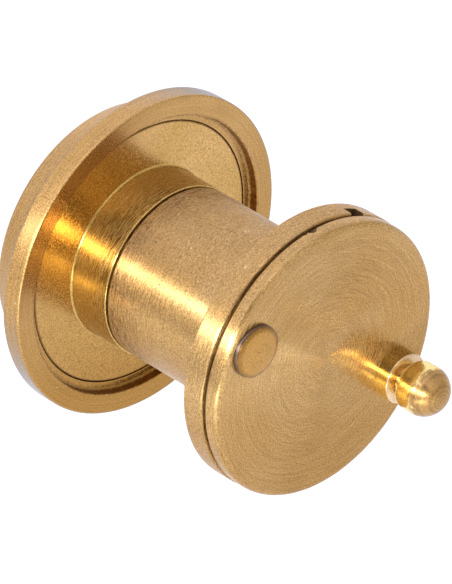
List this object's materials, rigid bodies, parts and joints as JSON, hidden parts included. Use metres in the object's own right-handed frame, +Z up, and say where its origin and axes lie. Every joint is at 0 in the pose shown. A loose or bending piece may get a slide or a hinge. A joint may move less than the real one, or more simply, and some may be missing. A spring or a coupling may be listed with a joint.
{
  "type": "door viewer",
  "caption": "Brass door viewer: exterior rose and lens barrel, threaded interior barrel with flange, and a swinging privacy cover with a ball knob.",
  "frame": {"origin": "on the sight line, in the plane of the rose's annular face that bears on the outside of the door", "axes": "+Y along the sight line towards the outside of the door, -Y towards the room, +Z up, +X to the right as seen from the room"},
  "size_m": [0.0518, 0.0589, 0.0518],
  "materials": {
    "satin_brass": "satin, fine turned lines",
    "cast_brass": "turned barrel, grainy disc",
    "polished_brass": "polished",
    "spring_steel": "bright zinc",
    "black_ring": "black anodised",
    "seal_rubber": "matt",
    "lens_glass": "polished"
  },
  "bodies": {
    "exterior_half": {"front_rose": "satin_brass", "front_barrel": "cast_brass", "front_bezel": "satin_brass", "objective_lens": "lens_glass", "objective_seal": "seal_rubber", "second_lens": "lens_glass", "third_lens": "lens_glass", "lens_spacer": "black_ring", "lens_lock_ring": "black_ring"},
    "eyepiece": {"eyepiece_lens": "lens_glass"},
    "interior_half": {"interior_barrel": "satin_brass", "eyepiece_ring": "satin_brass", "pivot_screw": "satin_brass", "pivot_washer": "spring_steel"},
    "cover": {"swing_cover": "satin_brass", "cover_knob": "polished_brass", "knob_screw": "spring_steel"}
  },
  "joints": [
    {"name": "draw", "type": "slide", "parent": "exterior_half", "child": "eyepiece", "axis": [0, -1, 0], "range_m": [0, 0.0195]},
    {"name": "screw_turn", "type": "hinge", "parent": "eyepiece", "child": "interior_half", "pos_m": [0, 0, 0], "axis": [0, -1, 0], "range_deg": [0, 4680]},
    {"name": "cover_swing", "type": "hinge", "parent": "interior_half", "child": "cover", "pos_m": [-0.01447, -0.0351, 0.00863], "axis": [0, -1, 0], "continuous": true}
  ],
  "couplings": [
    {"joint": "draw", "follows": "screw_turn", "m_per_rad": 0.00023873}
  ]
}
